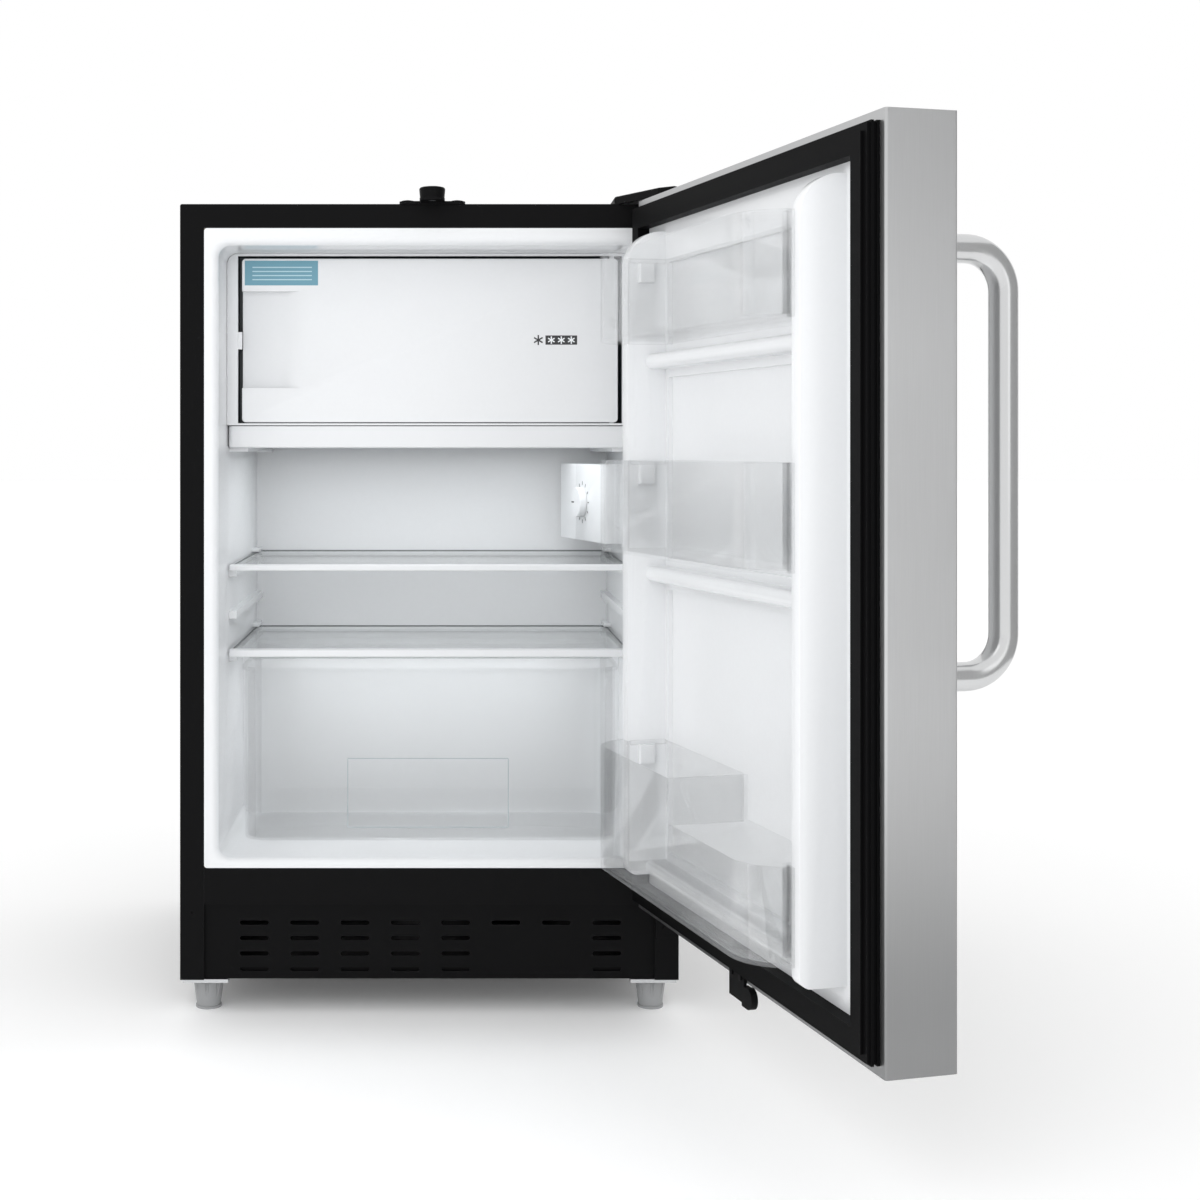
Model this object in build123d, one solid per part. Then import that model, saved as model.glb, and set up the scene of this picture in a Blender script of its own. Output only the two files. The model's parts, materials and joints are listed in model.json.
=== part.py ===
"""Compact built-in refrigerator with a freezer box, shelves, crisper, door bins and a key lock.

Millimetres, +Z up, +X to the right seen from the front, +Y to the back. The floor is Z = 0 and
the cabinet's front plane is Y = 0. The door is built closed, then turned to its rest angle.
"""

from build123d import *
import math
import os

# ---------------------------------------------------------------- overall sizes
CAB_W = 500.0  # cabinet width
CAB_TOP = 813.0  # cabinet top above the floor
CAB_D = 450.0  # cabinet depth without the door
FOOT_H = 35.0  # underside of the cabinet above the floor
SHEET = 1.0  # cabinet and door steel
WALL = 38.0  # insulated side wall
TOP_WALL = 41.0  # insulated top wall
BACK_WALL = 75.0  # insulated back wall
TOE_H = 76.0  # toe grille height
RAIL_H = 36.2  # bottom front rail height
FRAME_W = 24.0  # black flange round the front
LIP = 10.0  # radius of the liner's front edge
LINER_T = 2.0
# ---------------------------------------------------------------- door
DOOR_T = 58.0  # door thickness
DOOR_GAP = 12.0  # inner face to the cabinet front
DOOR_SIDE = 2.0  # door edge in from the cabinet side
DOOR_Z0 = 115.0
DOOR_TOP_GAP = 1.0
REST_ANGLE = 104.4  # door opening in the rest pose, degrees
PIN_IN = 18.0  # hinge pin in from the cabinet side
PIN_FRONT = 34.0  # hinge pin in front of the cabinet
PIN_R = 4.0
RUN = 0.05  # running clearance on a radius
SEAL_W = 22.5
SEAL_IN = 8.0
DYKE_IN = 59.0  # raised side rib, in from the door's edge
DYKE_W = 14.0
DYKE_H = 38.0
DYKE_SPAN = (0.072, 0.945)  # ends of the ribs, as heights up the door
HANDLE_R = 11.0
HANDLE_OUT = 65.0  # handle centreline from the door face
HANDLE_BEND = 32.0
HANDLE_IN = 45.0
# ---------------------------------------------------------------- bins, as heights up the door
BIN_DEEP = 74.5
BIN_WALL = 2.5
BIN_CORNER = 42.0
BINS = {  # name: (bottom, top, top of the hinge-side part) as fractions of the door height
    "top_bin": (0.790, 0.906, 0.906),
    "middle_bin": (0.515, 0.634, 0.634),
    "bottom_bin": (0.093, 0.201, 0.255),
}
LEDGES = (0.490, 0.778)
# ---------------------------------------------------------------- inside, as heights up the cavity
SHELF_UP = 0.469
SHELF_LOW = 0.325
STEP_TOP = 0.283
FREEZER_LOW = 0.713
GLASS_T = 4.0
SHELF_FRONT = 76.0
FREEZER_FRONT = 70.0
FREEZER_T = 20.0
CRISPER_FRONT = 78.0
# ---------------------------------------------------------------- base
FOOT_R = 15.0
STUD_R = 5.0
SLOT_PITCH = 50.6
SLOT_ROWS = 15.5

HALF = CAB_W / 2
BASE = FOOT_H + TOE_H  # top of the toe grille
RAIL_TOP = BASE + RAIL_H
IN_X = HALF - WALL  # liner inner half width
FLANGE_X = HALF - FRAME_W
FLANGE_TOP = CAB_TOP - FRAME_W
FLOOR = RAIL_TOP + 9.0
CEIL = CAB_TOP - TOP_WALL
IN_Y = CAB_D - BACK_WALL
STEP_Y = CAB_D / 2
DOOR_W = CAB_W - 2 * DOOR_SIDE
DX = DOOR_W / 2
DOOR_IN = -DOOR_GAP  # inner face
DOOR_OUT = DOOR_IN - DOOR_T
DOOR_Z1 = CAB_TOP - DOOR_TOP_GAP
PIN = (HALF - PIN_IN, -PIN_FRONT)


def zi(t):
    """Height inside the cavity."""
    return FLOOR + t * (CEIL - FLOOR)


def zd(t):
    """Height up the door."""
    return DOOR_Z0 + t * (DOOR_Z1 - DOOR_Z0)


MACHINE_Y = STEP_Y + 32.0  # front of the machine compartment
MACHINE_Z = zi(STEP_TOP) - 32.0


# ================================================================ helpers
def block(x0, x1, y0, y1, z0, z1):
    return Pos((x0 + x1) / 2, (y0 + y1) / 2, (z0 + z1) / 2) * Box(x1 - x0, y1 - y0, z1 - z0)


def upright(x, y, z0, z1, r):
    return Pos(x, y, (z0 + z1) / 2) * Cylinder(r, z1 - z0)


def rod_y(x, z, y0, y1, r):
    return Pos(x, (y0 + y1) / 2, z) * Rot(X=90) * Cylinder(r, y1 - y0)


def prism_z(points, z0, z1):
    """Plan outline pulled up from z0 to z1."""
    return extrude(Plane.XY.offset(z0) * make_face(Polyline(points, close=True)), z1 - z0)


def prism_x(points, x0, x1):
    """Side outline of (y, z) points pulled along X."""
    face = make_face(Polyline([(x0, y, z) for y, z in points], close=True))
    return extrude(face, amount=x1 - x0, dir=(1, 0, 0))


def soft_box(x0, x1, y0, y1, z0, z1, r):
    """Block with its upright edges rounded."""
    return fillet(block(x0, x1, y0, y1, z0, z1).edges().filter_by(Axis.Z), r)


def tube(points, r, bends, wall=None):
    """Round rod, or a tube with that wall, along a polyline with its corners rounded."""
    path = FilletPolyline(*points, radius=bends) if len(points) > 2 else Line(*points)
    start = Plane(path @ 0, z_dir=path % 0)
    rod = sweep(start * Circle(r), path)
    return rod if wall is None else rod - sweep(start * Circle(r - wall), path)


def all_of(shapes):
    whole = None
    for s in shapes:
        whole = s if whole is None else whole + s
    return whole


def screw(x, y, z, length, r=2.4, head=4.5):
    """Screw into a horizontal face at z, head up."""
    return upright(x, y, z - length, z + 0.5, r) + upright(x, y, z, z + 2.4, head)


def swing(shape):
    """Door part from closed to the rest angle."""
    return Pos(PIN[0], PIN[1], 0) * Rot(Z=REST_ANGLE) * Pos(-PIN[0], -PIN[1], 0) * shape


# ================================================================ cabinet
def cavity(grow, front):
    """The cold space as a solid, grown outwards, from the front plane given."""
    side = [
        (front, FLOOR - grow),
        (STEP_Y + grow, FLOOR - grow),
        (STEP_Y + grow, zi(STEP_TOP) - grow),
        (IN_Y + grow, zi(STEP_TOP) - grow),
        (IN_Y + grow, CEIL + grow),
        (front, CEIL + grow),
    ]
    solid = prism_x(side, -IN_X - grow, IN_X + grow)
    deep = solid.edges().filter_by(Axis.Y)
    return fillet(deep, 12.0 + grow)


def shelf_ribs():
    """Moulded runners on both side walls: a rib under each shelf, a short one over its back."""
    ribs = []
    for z in (shelf_z("up"), shelf_z("low"), (shelf_z("up") + shelf_z("low")) / 2):
        for s in (-1, 1):
            x0, x1 = sorted((s * (IN_X + 0.5), s * (IN_X - 8)))
            under = soft_box(x0, x1, SHELF_FRONT + 14, IN_Y - 12, z - GLASS_T - 8, z - GLASS_T, 2)
            ribs.append(under)
            if z in (shelf_z("up"), shelf_z("low")):
                ribs.append(block(x0, x1, IN_Y - 60, IN_Y - 20, z + 1.2, z + 5))
    return ribs


def shelf_z(which):
    return zi(SHELF_UP) if which == "up" else zi(SHELF_LOW)


def inner_liner():
    ring = block(-FLANGE_X + 0.1, FLANGE_X - 0.1, 0, 12, RAIL_TOP + 0.1, FLANGE_TOP - 0.1)
    ring = fillet(ring.edges().filter_by(Axis.Y), 3)
    shell = cavity(LINER_T, 0.5) + ring - cavity(0, -1)
    mouth = [
        e
        for e in shell.edges()
        if abs(e.center().Y) < 0.01 and inside(e.center(), IN_X + 3, FLOOR - 3, CEIL + 3)
    ]
    shell = fillet(mouth, LIP - 2)
    shell = all_of([shell] + shelf_ribs() + tray_rails())
    return shell - drain_tube(solid=True)


def inside(p, x, z0, z1):
    return abs(p.X) < x and z0 < p.Z < z1


def cabinet_shell():
    outer = block(-HALF, HALF, 0, CAB_D, FOOT_H, CAB_TOP)
    outer = fillet(outer.edges().filter_by(Axis.Y).filter_by_position(Axis.Z, CAB_TOP - 1, CAB_TOP + 1), 2)
    hollow = block(-HALF + SHEET, HALF - SHEET, SHEET, CAB_D + 1, FOOT_H - 1, CAB_TOP - SHEET)
    window = block(-FLANGE_X, FLANGE_X, -1, SHEET + 1, FOOT_H - 1, FLANGE_TOP)
    plug = rod_y(-HALF + 12, BASE - 8, -1, 2, 2.0)
    return outer - hollow - window - plug - cabinet_screws()


def back_panel():
    x = HALF - SHEET - 0.1
    top = CAB_TOP - SHEET - 0.1
    return block(-x, x, CAB_D - 1.1, CAB_D - 0.1, MACHINE_Z + 1, top)


def bottom_rail():
    """Folded channel across the front below the cavity."""
    x = FLANGE_X - 0.1
    rail = block(-x, x, 0, 12, BASE, RAIL_TOP)
    return rail - block(-x - 1, x + 1, SHEET, 13, BASE + SHEET, RAIL_TOP - SHEET)


def foam_bulkhead():
    """Galvanised sheet between the foam and the machine compartment."""
    x = HALF - SHEET - 0.1
    low, high, t, back = BASE, MACHINE_Z, SHEET, CAB_D - 1.2
    side = [
        (12.2, low), (MACHINE_Y + t, low), (MACHINE_Y + t, high), (back, high),
        (back, high + t), (MACHINE_Y, high + t), (MACHINE_Y, low + t), (12.2, low + t),
    ]
    return prism_x(side, -x, x) - drain_tube(solid=True) - suction_line()


def cabinet_foam():
    x = HALF - SHEET
    foam = block(-x, x, SHEET, CAB_D - 1.1, BASE + SHEET, CAB_TOP - SHEET)
    foam -= block(-x - 1, x + 1, MACHINE_Y, CAB_D, 0, MACHINE_Z + SHEET)
    foam -= block(-x - 1, x + 1, 0, 12.2, 0, RAIL_TOP + 0.1)
    foam -= block(-FLANGE_X, FLANGE_X, 0, 12, 0, FLANGE_TOP)
    foam -= cavity(LINER_T, -1)
    return foam - drain_tube(solid=True) - suction_line() - cabinet_screws()


def toe_grille():
    """Recessed kick panel: eight columns of slots, four rows, two columns with one row only."""
    top, low = BASE - 0.3, FOOT_H + 0.3
    grille = block(-FLANGE_X - 14, FLANGE_X + 14, 4, 7, low, top)
    for s in (-1, 1):
        x0, x1 = sorted((s * (FLANGE_X + 1), s * (FLANGE_X + 14)))
        grille += block(x0, x1, SHEET, 4.5, low, top)
    pitch = SLOT_PITCH * CAB_W / 500.0
    first = -176.0 * CAB_W / 500.0
    for col in range(8):
        rows = 1 if col in (5, 6) else 4
        for row in range(rows):
            z = BASE - 19.5 - row * SLOT_ROWS
            slot = Pos(first + col * pitch, 5.5, z) * Rot(X=90) * extrude(SlotOverall(29, 4.6), 6, both=True)
            grille -= slot
    return grille - cabinet_screws()


def base_pan():
    x = HALF - SHEET - 0.1
    pan = block(-x, x, 8, CAB_D - 2.2, FOOT_H, FOOT_H + 14)
    pan -= block(-x + 2, x - 2, 10, CAB_D - 4.2, FOOT_H + 2, FOOT_H + 15)
    for fx, fy in feet_at():
        pan -= upright(fx, fy, FOOT_H - 1, FOOT_H + 3, STUD_R + RUN)
    return pan - foot_plates()


def rear_cover():
    """Vented cover over the machine compartment."""
    x = HALF - SHEET - 0.3
    low, high = FOOT_H + 3, MACHINE_Z - 0.3
    cover = block(-x, x, CAB_D - 2.0, CAB_D - 0.5, FOOT_H + 16, high)
    cover += block(-x, x, CAB_D - 2.0, CAB_D - 0.5, low, FOOT_H + 16)
    for col in range(6):
        for row in range(7):
            cx = (col - 2.5) * (CAB_W - 60) / 6
            cz = low + 50 + row * (high - low - 80) / 6
            slot = Rot(X=90) * extrude(SlotOverall(46, 6), 4, both=True)
            cover -= Pos(cx, CAB_D - 1, cz) * slot
    return cover - power_inlet(solid=True)


# ================================================================ base and cooling parts
def feet_at():
    x = HALF - 25.0
    return [(-x, 30.0), (x, 30.0), (-x, CAB_D - 30.0), (x, CAB_D - 30.0)]


def foot(i):
    """Levelling foot: tapered ribbed cup on a threaded stud."""
    x, y = feet_at()[i]
    cup = Pos(x, y, 2) * Cone(FOOT_R - 3, FOOT_R, 22, align=(Align.CENTER, Align.CENTER, Align.MIN))
    cup += upright(x, y, 0, 2.5, FOOT_R - 2)
    cup += upright(x, y, 24, 27, FOOT_R)
    for k in range(8):
        a = math.radians(45 * k)
        cup -= upright(x + (FOOT_R + 0.4) * math.cos(a), y + (FOOT_R + 0.4) * math.sin(a), 4, 28, 2.2)
    return cup + upright(x, y, 20, FOOT_H + 26, STUD_R)


def foot_plates():
    """Bright mounting plates under the corners, each with its two screws."""
    plates = []
    for x, y in feet_at():
        y0, y1 = (2.0, y + 17) if y < CAB_D / 2 else (y - 17, CAB_D - 2.0)
        plate = block(x - 23, x + 23, y0, y1, FOOT_H - 3.5, FOOT_H)
        plate += upright(x, y, FOOT_H - 5, FOOT_H - 3, 8.5)
        for s in (-1, 1):
            plate += upright(x + s * 18, y, FOOT_H - 6.5, FOOT_H + 6, 2.0)
            plate += upright(x + s * 18, y, FOOT_H - 6.5, FOOT_H - 3, 3.5)
        plates.append(plate - upright(x, y, FOOT_H - 9, FOOT_H + 1, STUD_R + RUN))
    return Compound(children=plates)


MX, MY = 90.0, CAB_D - 100.0  # compressor centre


def compressor():
    """Hermetic shell on its welded feet, with the relay box on its side."""
    pot = upright(MX, MY, FOOT_H + 20, FOOT_H + 165, 60)
    pot = fillet(pot.edges().group_by(Axis.Z)[-1], 34)
    pot = fillet(pot.edges().group_by(Axis.Z)[0], 10)
    feet = soft_box(MX - 86, MX + 86, MY - 52, MY + 52, FOOT_H + 17, FOOT_H + 20.5, 12)
    for gx, gy in grommets_at():
        feet -= upright(gx, gy, 0, 100, 7)
    relay = soft_box(MX + 56, MX + 88, MY - 22, MY + 22, FOOT_H + 60, FOOT_H + 125, 4)
    return pot + feet + relay


def grommets_at():
    return [(MX + sx * 72, MY + sy * 38) for sx in (-1, 1) for sy in (-1, 1)]


def compressor_grommets():
    soft = []
    for x, y in grommets_at():
        g = upright(x, y, FOOT_H + 2, FOOT_H + 17, 11) + upright(x, y, FOOT_H + 16, FOOT_H + 24, 6.9)
        soft.append(g)
    return Compound(children=soft)


def condenser_coil():
    """Flat serpentine tube in the machine compartment."""
    x0, x1, y = -HALF + 32, -26.0, MACHINE_Y + 50
    passes = 7
    z0, pitch = FOOT_H + 40, (MACHINE_Z - 30 - FOOT_H - 40) / 6
    points = []
    for k in range(passes):
        z = z0 + k * pitch
        ends = [(x0, y, z), (x1, y, z)] if k % 2 == 0 else [(x1, y, z), (x0, y, z)]
        points += ends
    coil = tube(points, 3.2, min(pitch * 0.45, 9.0))
    for k in range(9):
        x = x0 + 22 + k * (x1 - x0 - 44) / 8
        coil += upright(x, y + 4.2, z0 - 8, z0 + 6 * pitch + 8, 1.3)
    return coil


def filter_drier():
    x, y = 0.0, MACHINE_Y + 40
    can = upright(x, y, FOOT_H + 60, FOOT_H + 150, 10)
    can += upright(x, y, FOOT_H + 40, FOOT_H + 170, 3)
    return can


def evaporation_pan():
    x0, x1, y0, y1 = -HALF + 50, -40.0, MACHINE_Y + 20, CAB_D - 30.0
    pan = soft_box(x0, x1, y0, y1, FOOT_H + 2, FOOT_H + 26, 8)
    return pan - soft_box(x0 + 2, x1 - 2, y0 + 2, y1 - 2, FOOT_H + 4, FOOT_H + 27, 6)


def drain_tube(solid=False):
    """Defrost drain from the step down into the evaporation pan."""
    x, y = -120.0, IN_Y - 14
    top = zi(STEP_TOP)
    pipe = upright(x, y, FOOT_H + 20, top, 6) + upright(x, y, top - 1, top + 1, 9)
    return pipe if solid else pipe - upright(x, y, 0, top + 2, 4.5)


def suction_line():
    """Copper line from the compressor up into the foam."""
    z = FOOT_H + 150
    x0, x1, y1 = MX - 30, MX - 70, MY + 30
    points = [(x0, MY, z), (x0, MY, z + 45), (x1, y1, z + 45), (x1, y1, MACHINE_Z + 20)]
    return tube(points, 4, 12) - compressor()


def power_inlet(solid=False):
    """Moulded gland in the rear cover where the supply enters."""
    x, z = HALF - 50.0, FOOT_H + 90
    gland = rod_y(x, z, CAB_D - 12, CAB_D - 0.5, 8) + rod_y(x, z, CAB_D - 0.5, CAB_D + 2, 12)
    return gland if solid else gland - rod_y(x, z, CAB_D - 13, CAB_D + 3, 3.5)


# ================================================================ hinges and lock
def cover_plan(inset):
    s = HALF - 250.0
    pts = [(186, 46), (247, 46), (247, -58), (237, -70), (222, -58), (186, 4)]
    plan = make_face(Polyline([(x + s, y) for x, y in pts], close=True))
    return offset(plan, -inset, kind=Kind.INTERSECTION) if inset else plan


def top_hinge_bracket():
    plate = extrude(Plane.XY.offset(CAB_TOP) * cover_plan(4), 3)
    plate += upright(*PIN, DOOR_Z1 - 16, CAB_TOP + 3, PIN_R)
    return plate - cabinet_screws()


def hinge_cover():
    cover = extrude(Plane.XY.offset(CAB_TOP) * cover_plan(0), 8)
    cover = fillet(cover.edges().group_by(Axis.Z)[-1], 2)
    return cover - extrude(Plane.XY.offset(CAB_TOP - 1) * cover_plan(2), 7)


def lower_hinge_bracket():
    x1 = HALF - 1
    bracket = block(x1 - 22, x1, -3, 0, BASE - 33, BASE + 2)
    arm = soft_box(x1 - 30, x1, -PIN_FRONT - 13, 0, BASE - 1, BASE + 2, 3)
    bracket += arm + block(x1 - 30, x1 - 10, -4, 0, BASE - 1, BASE + 2)
    bracket += upright(*PIN, BASE - 1, DOOR_Z0 + 16, PIN_R)
    return bracket - cabinet_screws()


def cabinet_screws():
    """Screws of both hinge brackets and of the lock plate."""
    s = HALF - 250.0
    parts = [screw(x + s, y, CAB_TOP + 3, 16) for x, y in ((200, 34), (236, 34), (236, 10))]
    parts += [screw(LOCK_X + k * 25, 14, CAB_TOP + LOCK_PLATE, 14, head=6.0) for k in (-1, 1)]
    for z in (BASE - 24, BASE - 9):
        shank = rod_y(HALF - 11, z, -3.5, 10, 2.2) + rod_y(HALF - 11, z, -5.2, -3, 4.5)
        parts.append(shank)
    return Compound(children=parts)


LOCK_X, LOCK_Y, LOCK_R = 3.0, -20.0, 13.1
LOCK_PLATE = 2.5  # lock plate thickness
LOCK_H = 13.5  # lock barrel's top above the cabinet
CUP = 6.0  # half width of the strike cup
BOLT_R = 4.0


def lock_plate():
    """Plate on the cabinet top that reaches over the door's top edge."""
    top = CAB_TOP + LOCK_PLATE
    plate = soft_box(LOCK_X - 33, LOCK_X + 33, -4, 30, CAB_TOP, top, 6)
    plate += soft_box(LOCK_X - 12.5, LOCK_X + 12.5, LOCK_Y - 12.5, 14, CAB_TOP + 0.5, top, 9)
    return plate - upright(LOCK_X, LOCK_Y, CAB_TOP - 1, CAB_TOP + 4, BOLT_R + RUN) - cabinet_screws()


def lock_barrel():
    z0, z1 = CAB_TOP + LOCK_PLATE, CAB_TOP + LOCK_H
    barrel = Pos(LOCK_X, LOCK_Y, (z0 + z1) / 2) * Cone(LOCK_R - 1, LOCK_R, z1 - z0)
    barrel = fillet(barrel.edges().group_by(Axis.Z)[-1], 2.2)
    barrel -= upright(LOCK_X, LOCK_Y, z0 - 1, z1 - 3.5, BOLT_R + RUN)
    return barrel - upright(LOCK_X, LOCK_Y, z1 - 4, z1 + 1, 8 + RUN)


def lock_core():
    """Turning plug with its key slot."""
    z1 = CAB_TOP + LOCK_H
    core = upright(LOCK_X, LOCK_Y, z1 - 3.6, z1 + 0.6, 8)
    return core - block(LOCK_X - 1, LOCK_X + 1, LOCK_Y - 4.5, LOCK_Y + 4.5, z1 - 1.5, z1 + 1)


def lock_bolt():
    """Bolt under the plug; it drops into the door's top edge."""
    return upright(LOCK_X, LOCK_Y, CAB_TOP + 0.8, CAB_TOP + LOCK_H - 3.8, BOLT_R)


# ================================================================ freezer
FZ0 = zi(FREEZER_LOW)
FZ1 = CEIL - 6.0
FX = IN_X - 16.0
FPIN = (FX - 6.0, FREEZER_FRONT + 6.0)
TRAY_H = 23.0


def freezer_frame():
    """White surround of the freezer opening, with the stop the door closes on."""
    y0, y1 = FREEZER_FRONT + 2, FREEZER_FRONT + 34
    frame = block(-IN_X + 0.3, IN_X - 0.3, y0, y1, FZ0 - 3, CEIL - 0.3)
    frame = fillet(frame.edges().filter_by(Axis.Y).filter_by_position(Axis.Z, CEIL - 1, CEIL), 12)
    frame -= block(-FX - 4.5, FX + 4.5, y0 - 1, FREEZER_FRONT + 22.1, FZ0 - 1, FZ1 + 3)
    frame -= block(-FX + 12, FX - 12, y0 - 1, y1 + 1, FZ0 + 8, FZ1 - 8)
    z = (FZ0 + FZ1) / 2
    frame += block(-FX - 5, -FX - 0.3, y0 + 2, y0 + 12, z - 9, z + 9)
    return frame - freezer_hinge_pins()


def freezer_hinge_pins():
    low = upright(*FPIN, FZ0 - 3, FZ0 + 7, 2.5)
    high = upright(*FPIN, FZ1 - 7, FZ1 + 3.5, 2.5)
    return Compound(children=[low, high])


def evaporator():
    """Plate evaporator folded into a box that makes the freezer's walls."""
    x, y0, y1 = FX - 10, FREEZER_FRONT + 34.1, IN_Y - 4
    box = soft_box(-x, x, y0, y1, FZ0 + 1, FZ1 - 1, 3)
    box -= block(-x + 2, x - 2, y0 - 1, y1 - 2, FZ0 + 3, FZ1 - 3)
    for k in range(5):
        cx = -x + 40 + k * (2 * x - 80) / 4
        box += block(cx - 5, cx + 5, y0 + 20, y1 - 20, FZ1 - 1.5, FZ1 + 1)
    return box


def freezer_door_panel():
    """Front shell with a finger recess at the free edge."""
    y0, y1 = FREEZER_FRONT, FREEZER_FRONT + FREEZER_T
    panel = block(-FX, FX, y0, y1, FZ0, FZ1)
    panel = fillet(panel.edges().filter_by(Axis.Y), 4)
    panel = fillet(panel.faces().sort_by(Axis.Y)[0].edges(), 1.5)
    panel -= block(-FX + 10, FX - 12, y0 + 3, y1 + 1, FZ0 + 10, FZ1 - 10)
    h = FZ1 - FZ0
    g0, g1 = FZ0 + 0.209 * h, FZ0 + 0.80 * h
    panel += block(-FX + 1, -FX + 66, y0 + 2, y0 + 14, g0 - 4, g1 + 4)
    grip = [(-FX - 1, y0 - 1), (-FX - 1, y0 + 10), (-FX + 45, y0 + 10), (-FX + 61.5, y0 - 1)]
    panel -= prism_z(grip, g0, g1)
    for z0, z1 in ((FZ0 - 1, FZ0 + 8), (FZ1 - 8, FZ1 + 1)):
        panel -= upright(*FPIN, z0, z1, 2.5 + RUN)
    return panel - freezer_label()


def freezer_door_back():
    y = FREEZER_FRONT + FREEZER_T
    plate = block(-FX + 10.1, FX - 12.1, y - 3, y, FZ0 + 10.1, FZ1 - 10.1)
    return plate - block(-FX + 24, FX - 26, y - 1, y + 1, FZ0 + 24, FZ1 - 24)


def freezer_door_gasket():
    y = FREEZER_FRONT + FREEZER_T
    ring = block(-FX + 1.5, FX - 4.5, y, y + 1.8, FZ0 + 1.5, FZ1 - 1.5)
    return ring - block(-FX + 9.5, FX - 11, y - 1, y + 3, FZ0 + 9.5, FZ1 - 9.5)


def freezer_label():
    """Thin instruction label set flush in the door's top corner."""
    y = FREEZER_FRONT
    return block(-FX + 3, -FX + 79.4, y, y + 0.4, FZ1 - 28, FZ1 - 2.2)


def drip_tray():
    """Shallow tray under the freezer box."""
    z1 = FZ0 - 3.6
    x, y0, y1 = IN_X - 1.2, FREEZER_FRONT + 4, IN_Y - 8
    tray = soft_box(-x, x, y0, y1, z1 - TRAY_H, z1, 6)
    tray -= soft_box(-x + 2.5, x - 2.5, y0 + 2.5, y1 - 2.5, z1 - TRAY_H + 2.5, z1 + 1, 4)
    nose = [e for e in tray.edges() if e.center().Y < y0 + 0.5 and abs(e.center().Z - z1 + TRAY_H) < 0.5]
    return fillet(nose, 2.0) if nose else tray


def tray_rails():
    """Side runners that hold the drip tray."""
    z = FZ0 - 3.6 - TRAY_H
    rails = []
    for s in (-1, 1):
        x0, x1 = sorted((s * (IN_X + 0.5), s * (FX - 4)))
        rails.append(block(x0, x1, FREEZER_FRONT + 24, IN_Y - 12, z - 4, z - 0.2))
    return rails


# ================================================================ shelves, crisper, thermostat
def shelf_glass(which):
    z, back = shelf_z(which), (IN_Y - 6 if which == "up" else IN_Y - 33)
    return block(-IN_X + 3.5, IN_X - 3.5, SHELF_FRONT + 4, back, z - GLASS_T, z)


def shelf_trim(which):
    """Front moulding clipped over the glass."""
    z, deep = shelf_z(which), (6.0 if which == "up" else 7.7)
    trim = block(-IN_X + 2.5, IN_X - 2.5, SHELF_FRONT, SHELF_FRONT + 13, z + 1 - deep, z + 1)
    front = [e for e in trim.edges().filter_by(Axis.X) if e.center().Y < SHELF_FRONT + 1]
    return fillet(front, 1.5) - shelf_glass(which)


def crisper_drawer():
    """Clear drawer, open at the top, with a rim and a framed pull in front."""
    x, y0, y1 = IN_X - 16, CRISPER_FRONT, STEP_Y - 4
    z0, z1 = FLOOR + 1.5, zi(SHELF_LOW) - 18.5
    drawer = soft_box(-x, x, y0, y1, z0, z1, 25)
    drawer += soft_box(-x - 4, x + 4, y0 - 1, y1, z1 - 3, z1, 26)
    drawer -= soft_box(-x + 2.5, x - 2.5, y0 + 2.5, y1 - 2.5, z0 + 2.5, z1 + 1, 22.5)
    k = IN_X / 212.0
    pull = block(-86 * k, 82 * k, y0 - 1.2, y0 + 1, z0 + 14, z0 + 86)
    pull -= block(-86 * k + 2, 82 * k - 2, y0 - 2, y0 + 0.01, z0 + 16, z0 + 84)
    pull -= block(-90 * k, 86 * k, y0 + 0.0, y0 + 2, z0, z1)
    return drawer + pull


THERMO_TILT = 13.0


def thermo_z():
    return (shelf_z("up") + FZ0 - 3.6 - TRAY_H) / 2


def thermo_face(y):
    """X of the housing's slanted face at a depth y."""
    return IN_X - 20.0 - (y - 165.0) * math.tan(math.radians(THERMO_TILT))


def thermo_solid(y0, y1, inset=0.0):
    wall = IN_X - 0.1
    h = 43.5
    pts = [
        (wall, y0 + inset), (thermo_face(y0) + inset, y0 + inset),
        (thermo_face(y1) + inset, y1 - inset), (wall, y1 - inset),
    ]
    return prism_z(pts, thermo_z() - h + inset, thermo_z() + h - inset)


def dial_at():
    y = 247.0
    return thermo_face(y), y, thermo_z()


def dial_axis():
    a = math.radians(THERMO_TILT)
    return (-math.cos(a), -math.sin(a), 0.0)


def on_dial(length, r, start):
    plane = Plane(Vector(*dial_at()) + Vector(*dial_axis()) * start, z_dir=dial_axis())
    return extrude(plane * Circle(r), length)


def thermostat_housing():
    box = thermo_solid(165, 272)
    box -= thermo_solid(165, 272, 2.5)
    return box - on_dial(30, 3 + RUN, -20)


def lamp_lens():
    return thermo_solid(272.2, 330) - thermo_solid(272.2, 330, 2.0)


def lamp():
    z = thermo_z()
    return upright(IN_X - 22, 302, z - 26, z + 26, 8) + block(IN_X - 22, IN_X - 2.3, 296, 308, z - 12, z + 12)


def thermostat_dial():
    dial = on_dial(8, 17, 0.4)
    rims = dial.edges().filter_by(GeomType.CIRCLE)
    dial = fillet(rims.sort_by_distance(Vector(*dial_at()) + Vector(*dial_axis()) * 30)[0], 1.2)
    return dial + on_dial(15, 3, -12)


# ================================================================ door
def door_plate(inset, v0, v1):
    """Slab over the whole door, in from its edges, between two heights off the inner face."""
    return block(-DX + inset, DX - inset, DOOR_IN + v0, DOOR_IN + v1, DOOR_Z0 + inset, DOOR_Z1 - inset)


def pin_bore(r):
    return upright(*PIN, DOOR_Z0 - 1, DOOR_Z1 + 1, r)


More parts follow.
